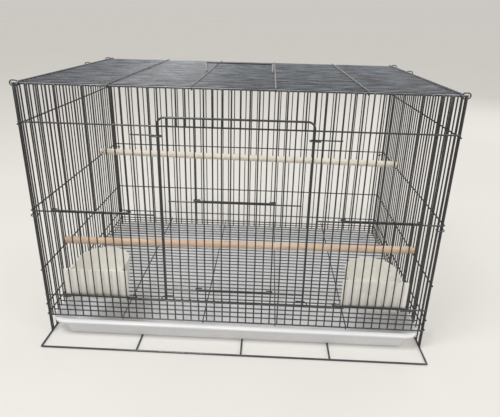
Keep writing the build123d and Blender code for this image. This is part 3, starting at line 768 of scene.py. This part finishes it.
def cup_outline(centre_x, draft):
    """Plan outlines of the cup: pairs of an outer point and the point of the bowl's inside by it."""
    wall = 2 * MM
    inner_half = bowl_half - wall - draft
    outer_half = bowl_half - draft
    flute_centre = cup_front_y - flute_radius + flute_depth
    pairs = []
    samples = 96
    for i in range(samples + 1):
        x = -cup_half + 2 * cup_half * i / samples
        bar = (math.floor((centre_x + x) / pitch) + 0.5) * pitch
        off_bar = abs(centre_x + x - bar)
        y = cup_front_y
        if feeder_gaps[0] * pitch < abs(bar) < (feeder_gaps[-1] + 1) * pitch and off_bar < flute_radius:
            y = max(y, flute_centre + math.sqrt(flute_radius ** 2 - off_bar ** 2))
        if i in (0, samples):
            y += 0.9 * MM
        elif i in (1, samples - 1):
            y += 0.15 * MM
        pairs.append(((x, y), (max(-inner_half, min(inner_half, x)), cup_back_y)))
    corner = (inner_half, cup_back_y)
    for point in ((cup_half, cup_back_y - 0.8 * MM), (cup_half - 0.8 * MM, cup_back_y),
                  (outer_half + 3 * MM, cup_back_y), (outer_half + 0.8 * MM, cup_back_y + 0.2 * MM),
                  (outer_half, cup_back_y + 1.2 * MM)):
        pairs.append((point, corner))
    side_mid_y = cup_back_y + bowl_straight / 2
    pairs.append(((outer_half, side_mid_y), (inner_half, side_mid_y)))
    for i in range(33):
        angle = math.pi * i / 32
        pairs.append(tuple((half * math.cos(angle), cup_back_y + bowl_straight + half * math.sin(angle))
                           for half in (outer_half, inner_half)))
    pairs.append(((-outer_half, side_mid_y), (-inner_half, side_mid_y)))
    for point in ((outer_half, cup_back_y + 1.2 * MM), (outer_half + 0.8 * MM, cup_back_y + 0.2 * MM),
                  (outer_half + 3 * MM, cup_back_y), (cup_half - 0.8 * MM, cup_back_y),
                  (cup_half, cup_back_y - 0.8 * MM)):
        pairs.append(((-point[0], point[1]), (-corner[0], corner[1])))
    return [(Vector((centre_x + o[0], o[1], 0)), Vector((centre_x + n[0], n[1], 0))) for o, n in pairs]


def cup_ring(centre_x, z, side, inward):
    """One ring of the cup at a height: from the outer or inner outline, moved towards the other."""
    draft = 3.5 * MM * (cup_rim_z - z) / (cup_rim_z - cup_foot_z)
    ring = []
    for outer, inner in cup_outline(centre_x, draft):
        start, other = (outer, inner) if side == "outer" else (inner, outer)
        towards = other - start
        move = towards.normalized() * inward if towards.length > 1e-9 else Vector((0, 0, 0))
        point = start + move
        ring.append((point.x, point.y, z))
    return ring


def shrunk(ring, centre, amount):
    """A ring drawn in towards its centre, for the rounded edge of a floor."""
    moved = []
    for x, y, z in ring:
        away = Vector((x - centre[0], y - centre[1], 0))
        away -= away.normalized() * amount
        moved.append((centre[0] + away.x, centre[1] + away.y, z))
    return moved


for panel, side in (("left", -1), ("right", 1)):
    x = side * (feeder_x + cup_shift)
    hub = (x, cup_back_y + 30 * MM)
    bm = bmesh.new()
    rings = [
        cup_ring(x, cup_foot_z, "outer", 0.6 * MM),
        cup_ring(x, cup_foot_z + 0.6 * MM, "outer", 0.0),
        cup_ring(x, cup_foot_z + 22 * MM, "outer", 0.0),
        cup_ring(x, cup_rim_z - 0.8 * MM, "outer", 0.0),
        cup_ring(x, cup_rim_z - 0.25 * MM, "outer", 0.22 * MM),
        cup_ring(x, cup_rim_z, "outer", 0.8 * MM),
        cup_ring(x, cup_rim_z, "inner", 0.8 * MM),
        cup_ring(x, cup_rim_z - 0.25 * MM, "inner", 0.2 * MM),
        cup_ring(x, cup_rim_z - 0.9 * MM, "inner", 0.0),
        cup_ring(x, cup_foot_z + 6.5 * MM, "inner", 0.0),
        shrunk(cup_ring(x, cup_foot_z + 3.4 * MM, "inner", 0.0), hub, 1.2 * MM),
        shrunk(cup_ring(x, cup_foot_z + 2 * MM, "inner", 0.0), hub, 4.5 * MM),
    ]
    rows = skin_rings(bm, rings)
    bm.faces.new(rows[0][::-1])
    bm.faces.new(rows[-1])
    lip_front = front_y + bar_r + 0.3 * MM
    lip_mid = lip_front + 1.25 * MM
    lip_rings = []
    for z, half_x, half_y in ((-8.5, 43.5, 0.5), (-8.0, 44.4, 1.0), (-6.5, 45, 1.25), (2.0, 45, 1.25)):
        slab = rounded_rectangle(half_x * MM, half_y * MM, min(half_y, 1.0) * MM,
                                 cup_foot_z + z * MM, lip_mid, steps=3)
        lip_rings.append([(x + a, b, c) for a, b, c in slab])
    lip_rows = skin_rings(bm, lip_rings)
    bm.faces.new(lip_rows[0][::-1])
    bmesh.ops.remove_doubles(bm, verts=bm.verts, dist=0.02 * MM)
    finished(bm, f"{panel}_cup_moulding", polypropylene, f"{panel}_cup", [f"{panel}_cup"])


# Perches: 12.7 mm dowels with a saw kerf in each end that straddles a side bar. The upper one is
# pale new wood, and the lower one a browner piece.

def sanded_dowel(name, pale, dark, streak):
    """A bare, sanded hardwood dowel: long fine grain, small dark pores and a dry, matt surface."""
    material, tree, output = new_material(name)
    place = add_node(tree, "ShaderNodeTexCoord")
    grain_width, grain_length = 0.9 * MM, 60 * MM
    stretch = add_node(tree, "ShaderNodeMapping", links={"Vector": place.outputs["Object"]})
    stretch.inputs["Scale"].default_value = (1 / grain_length, 1 / grain_width, 1 / grain_width)
    grain = add_node(tree, "ShaderNodeTexNoise", links={"Vector": stretch.outputs["Vector"]},
                     Scale=1.0, Detail=6.0, Roughness=0.6)
    band_width, band_length = 5 * MM, 140 * MM
    broad = add_node(tree, "ShaderNodeMapping", links={"Vector": place.outputs["Object"]})
    broad.inputs["Scale"].default_value = (1 / band_length, 1 / band_width, 1 / band_width)
    bands = add_node(tree, "ShaderNodeTexNoise", links={"Vector": broad.outputs["Vector"]},
                     Scale=1.0, Detail=2.0)
    base = add_ramp(tree, bands.outputs["Fac"], (0.32, dark), (0.68, pale))
    lines = add_ramp(tree, grain.outputs["Fac"], (0.34, "#ffffff"), (0.46, "#000000"))
    mixed = add_node(tree, "ShaderNodeMix", {"data_type": "RGBA"},
                     links={0: lines.outputs["Color"], 6: base.outputs["Color"]})
    mixed.inputs[7].default_value = linear(streak)
    bump = add_node(tree, "ShaderNodeBump", links={"Height": grain.outputs["Fac"]},
                    Strength=0.35, Distance=0.15 * MM)
    shader = add_node(tree, "ShaderNodeBsdfPrincipled", links={
        "Base Color": mixed.outputs[2],
        "Normal": bump.outputs["Normal"],
    }, Roughness=0.62, IOR=1.5)
    tree.links.new(shader.outputs["BSDF"], output.inputs["Surface"])
    return material


dowel_r = 6.35 * MM
kerf_half = 1.5 * MM
kerf_depth = 5.6 * MM
chamfer = 0.8 * MM
dowel_sides = 32


def dowel_section(radius, flat_side=0):
    """Points of a dowel's round section, or of the half that a kerf leaves on one side."""
    points = []
    if flat_side == 0:
        for k in range(dowel_sides):
            angle = 2 * math.pi * k / dowel_sides
            points.append((radius * math.cos(angle), radius * math.sin(angle)))
        return points
    limit = math.acos(kerf_half / radius)
    for k in range(17):
        angle = -limit + 2 * limit * k / 16
        points.append((flat_side * radius * math.cos(angle), radius * math.sin(angle)))
    return points


for name, rail_z, left_gap, right_gap, wood in (
    ("lower_perch", 117 * MM, 7, 8, sanded_dowel("browner_dowel", "#f2dcc6", "#e6c8ab", "#c7a180")),
    ("upper_perch", mid_z, 24, 22, sanded_dowel("pale_dowel", "#fbf6ea", "#f4ebda", "#e0d2b8")),
):
    left_y, right_y = front_y + bar_x(left_gap), front_y + bar_x(right_gap)
    swing = math.atan2(right_y - left_y, 2 * half_width)
    along = Vector((math.cos(swing), math.sin(swing), 0))
    across = Vector((-math.sin(swing), math.cos(swing), 0))
    up = Vector((0, 0, 1))
    middle = Vector((0, (left_y + right_y) / 2, rail_z + rail_r + 0.3 * MM + dowel_r))
    half_length = (half_width + 4.2 * MM) / math.cos(swing)
    shoulder = half_length - kerf_depth
    bm = bmesh.new()

    def dowel_ring(distance, section):
        """A section of the dowel, set across it at a distance from its middle."""
        return [middle + along * distance + across * a + up * b for a, b in section]

    lengths = [-shoulder + 2 * shoulder * i / 24 for i in range(25)]
    rows = skin_rings(bm, [dowel_ring(d, dowel_section(dowel_r)) for d in lengths])
    bm.faces.new(rows[0][::-1])
    bm.faces.new(rows[-1])
    for end in (-1, 1):
        for flat_side in (-1, 1):
            prong = [
                dowel_ring(end * (shoulder - 0.3 * MM), dowel_section(dowel_r, flat_side)),
                dowel_ring(end * (half_length - chamfer), dowel_section(dowel_r, flat_side)),
                dowel_ring(end * half_length, dowel_section(dowel_r - chamfer, flat_side)),
            ]
            rows = skin_rings(bm, prong)
            bm.faces.new(rows[0][::-1])
            bm.faces.new(rows[-1])
    finished(bm, f"{name}_dowel", wood, name, [name])


# Stage: a pale matt floor under a plain bright surround, with a soft light high over the left
# shoulder, a weaker one on the right, and one behind that glints on the top wires.

def pale_floor():
    """Matt pale grey paint, with a trace of mottling."""
    material, tree, output = new_material("pale_floor_paint")
    place = add_node(tree, "ShaderNodeTexCoord")
    mottle = add_node(tree, "ShaderNodeTexNoise", links={"Vector": place.outputs["Object"]},
                      Scale=3.0, Detail=2.0)
    colour = add_ramp(tree, mottle.outputs["Fac"], (0.0, "#c8c6c2"), (1.0, "#cfcdc9"))
    shader = add_node(tree, "ShaderNodeBsdfPrincipled", links={"Base Color": colour.outputs["Color"]},
                      Roughness=0.9)
    seen_by = tree.nodes.new("ShaderNodeLightPath")
    lift = add_node(tree, "ShaderNodeMath", {"operation": "MULTIPLY"},
                    links={0: seen_by.outputs["Is Camera Ray"]})
    lift.inputs[1].default_value = 0.28
    glow = add_node(tree, "ShaderNodeEmission", links={"Strength": lift.outputs[0]},
                    Color=linear("#f2f0ec"))
    both = add_node(tree, "ShaderNodeAddShader",
                    links={0: shader.outputs["BSDF"], 1: glow.outputs["Emission"]})
    tree.links.new(both.outputs[0], output.inputs["Surface"])
    return material


bm = bmesh.new()
bmesh.ops.create_circle(bm, cap_ends=True, segments=64, radius=60.0)
floor_mesh = bpy.data.meshes.new("floor")
bm.to_mesh(floor_mesh)
bm.free()
floor_mesh.materials.append(pale_floor())
floor = bpy.data.objects.new("floor", floor_mesh)
floor.location.z = -0.2 * MM
bpy.context.scene.collection.objects.link(floor)

world = bpy.data.worlds.new("studio")
bpy.context.scene.world = world
world.use_nodes = True
world_tree = world.node_tree
world_tree.nodes.clear()
path = world_tree.nodes.new("ShaderNodeLightPath")
seen = add_node(world_tree, "ShaderNodeMath", {"operation": "ADD"},
                links={0: path.outputs["Is Camera Ray"], 1: path.outputs["Is Glossy Ray"]})
seen_all = add_node(world_tree, "ShaderNodeMath", {"operation": "ADD", "use_clamp": True},
                    links={0: seen.outputs[0], 1: path.outputs["Is Transmission Ray"]})
level = add_node(world_tree, "ShaderNodeMapRange", links={"Value": seen_all.outputs[0]},
                 To_Min=0.58, To_Max=0.638)
surround = add_node(world_tree, "ShaderNodeBackground", links={"Strength": level.outputs["Result"]})
surround.inputs["Color"].default_value = linear("#f8f4ef")
world_out = world_tree.nodes.new("ShaderNodeOutputWorld")
world_tree.links.new(surround.outputs["Background"], world_out.inputs["Surface"])


def soft_light(name, place, power, size):
    """A square soft box, aimed at the middle of the cage."""
    light = bpy.data.lights.new(name, "AREA")
    light.energy = power
    light.size = size
    lamp = bpy.data.objects.new(name, light)
    lamp.location = place
    aim = Vector((0, 0, 0.2)) - Vector(place)
    lamp.rotation_mode = "QUATERNION"
    lamp.rotation_quaternion = aim.to_track_quat("-Z", "Y")
    bpy.context.scene.collection.objects.link(lamp)


soft_light("key_light", (-0.8, -1.0, 2.5), 35, 0.9)
soft_light("fill_light", (1.9, -1.3, 1.0), 8, 1.2)
soft_light("window_light", (1.6, 1.9, 1.4), 9, 1.2)


# Camera: where the photograph was taken from, worked out from the corners of the cage.

camera_data = bpy.data.cameras.new("camera")
camera_data.sensor_width = 36.0
focal_length_px, picture_width_px = 470.3, 500
camera_data.lens = camera_data.sensor_width * focal_length_px / picture_width_px
camera = bpy.data.objects.new("camera", camera_data)
world_to_picture = Matrix(((1, 0, 0), (0, 0, -1), (0, 1, 0)))
pitch_down, yaw, roll = 0.3840, 0.0324, 0.0372
turn = (Matrix.Rotation(roll, 3, "Z") @ Matrix.Rotation(yaw, 3, "Y")
        @ Matrix.Rotation(pitch_down, 3, "X") @ world_to_picture)
camera.matrix_world = Matrix((turn[0], -turn[1], -turn[2])).transposed().to_4x4()
camera_right, camera_distance, camera_height = 44.4 * MM, 640.1 * MM, 494.4 * MM
camera.location = (camera_right, front_y - camera_distance, camera_height)
bpy.context.scene.collection.objects.link(camera)
bpy.context.scene.camera = camera
bpy.context.scene.view_settings.view_transform = "Standard"
